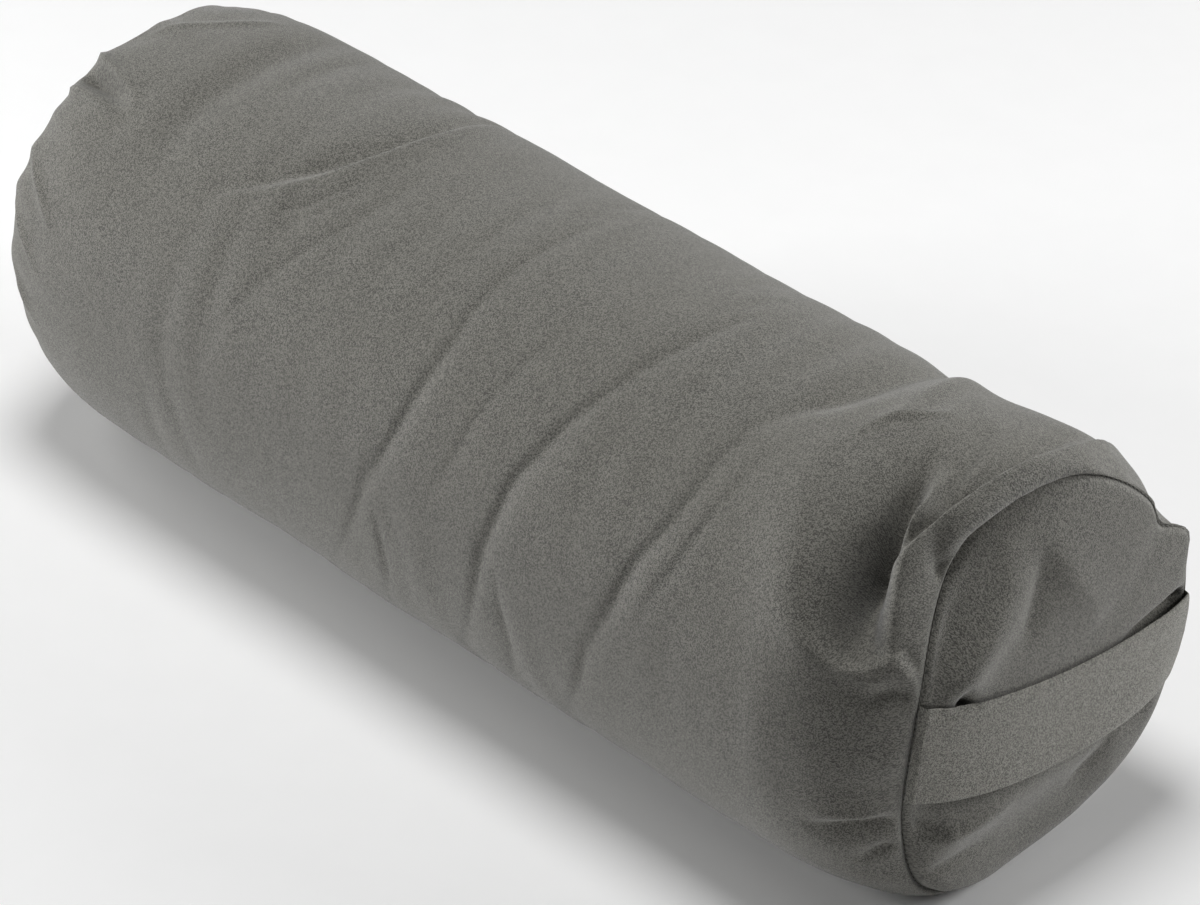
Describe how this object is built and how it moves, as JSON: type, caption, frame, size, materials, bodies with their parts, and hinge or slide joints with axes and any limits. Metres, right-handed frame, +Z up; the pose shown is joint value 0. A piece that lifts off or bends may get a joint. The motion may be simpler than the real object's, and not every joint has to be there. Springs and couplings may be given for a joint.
{
  "type": "yoga bolster",
  "caption": "Round stuffed yoga bolster in a removable zipped twill cover, with a flat carry strap across one end.",
  "frame": {"origin": "on the floor, under the middle of the whole object's bounding box", "axes": "+X runs along the roll to the end with the carry strap, +Z is up, +Y is the side with the zip"},
  "size_m": [0.6499, 0.2316, 0.219],
  "materials": {
    "cover_twill": "brushed cotton twill",
    "sewing_thread": "spun polyester thread",
    "zip_tape": "woven polyester tape",
    "zip_coil": "moulded nylon coil",
    "zip_metal": "dull plated zinc",
    "liner_cotton": "unbleached plain cotton",
    "fibre": "loose fibre"
  },
  "bodies": {
    "bolster": {"cover_body": "cover_twill", "cover_front_panel": "cover_twill", "cover_rear_panel": "cover_twill", "strap_tail_left": "cover_twill", "strap_tail_right": "cover_twill", "cover_front_thread": "sewing_thread", "cover_rear_thread": "sewing_thread", "zip_topstitch": "sewing_thread", "zip_tape_upper": "zip_tape", "zip_tape_lower": "zip_tape", "zip_teeth_upper": "zip_coil", "zip_teeth_lower": "zip_coil", "zip_front_stop": "zip_metal", "zip_rear_stop": "zip_metal", "liner_body": "liner_cotton", "liner_front_panel": "liner_cotton", "liner_rear_panel": "liner_cotton", "liner_front_thread": "liner_cotton", "liner_rear_thread": "liner_cotton", "filling": "fibre"},
    "strap": {"carry_strap": "cover_twill"},
    "slider": {"zip_slider": "zip_metal"},
    "pull": {"zip_pull": "zip_metal"}
  },
  "joints": [
    {"name": "strap_lift", "type": "slide", "parent": "bolster", "child": "strap", "axis": [1, 0, 0], "range_m": [0, 0.015]},
    {"name": "zip_slide", "type": "slide", "parent": "bolster", "child": "slider", "axis": [1, 0, 0], "range_m": [0, 0.408]},
    {"name": "zip_pull_flip", "type": "hinge", "parent": "slider", "child": "pull", "pos_m": [-0.1948, 0.11622, 0.09315], "axis": [0, 0.0775, 0.997], "range_deg": [0, 180]}
  ]
}
